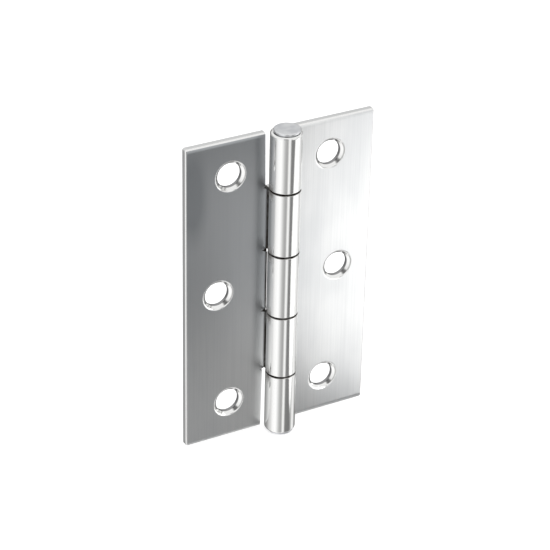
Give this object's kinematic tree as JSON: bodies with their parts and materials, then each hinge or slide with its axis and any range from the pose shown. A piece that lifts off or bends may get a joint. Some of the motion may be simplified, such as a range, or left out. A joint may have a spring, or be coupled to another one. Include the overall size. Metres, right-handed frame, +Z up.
{
  "type": "butt hinge",
  "caption": "Pressed sheet-steel butt hinge: two flat leaves with countersunk screw holes, rolled knuckles and a fixed pin with low heads.",
  "frame": {"origin": "on the pin's axis at mid-height, with the leaves opened out flat", "axes": "+Z up along the pin, +X from the pin towards the outer edge of the three-knuckle leaf, +Y towards the face that is screwed down; the countersinks and the barrel face -Y"},
  "size_m": [0.046, 0.0071, 0.0772],
  "materials": {
    "plated_steel": "bright zinc plate over fine straight brushing, polished on the barrel",
    "pin_steel": "bright zinc plate, satin on the formed heads"
  },
  "bodies": {
    "frame_leaf": {"leaf_three_knuckle": "plated_steel", "hinge_pin": "pin_steel"},
    "door_leaf": {"leaf_two_knuckle": "plated_steel"}
  },
  "joints": [
    {"name": "leaf_swing", "type": "hinge", "parent": "frame_leaf", "child": "door_leaf", "pos_m": [0, 0, 0], "axis": [0, 0, 1], "range_deg": [-64, 189]}
  ]
}
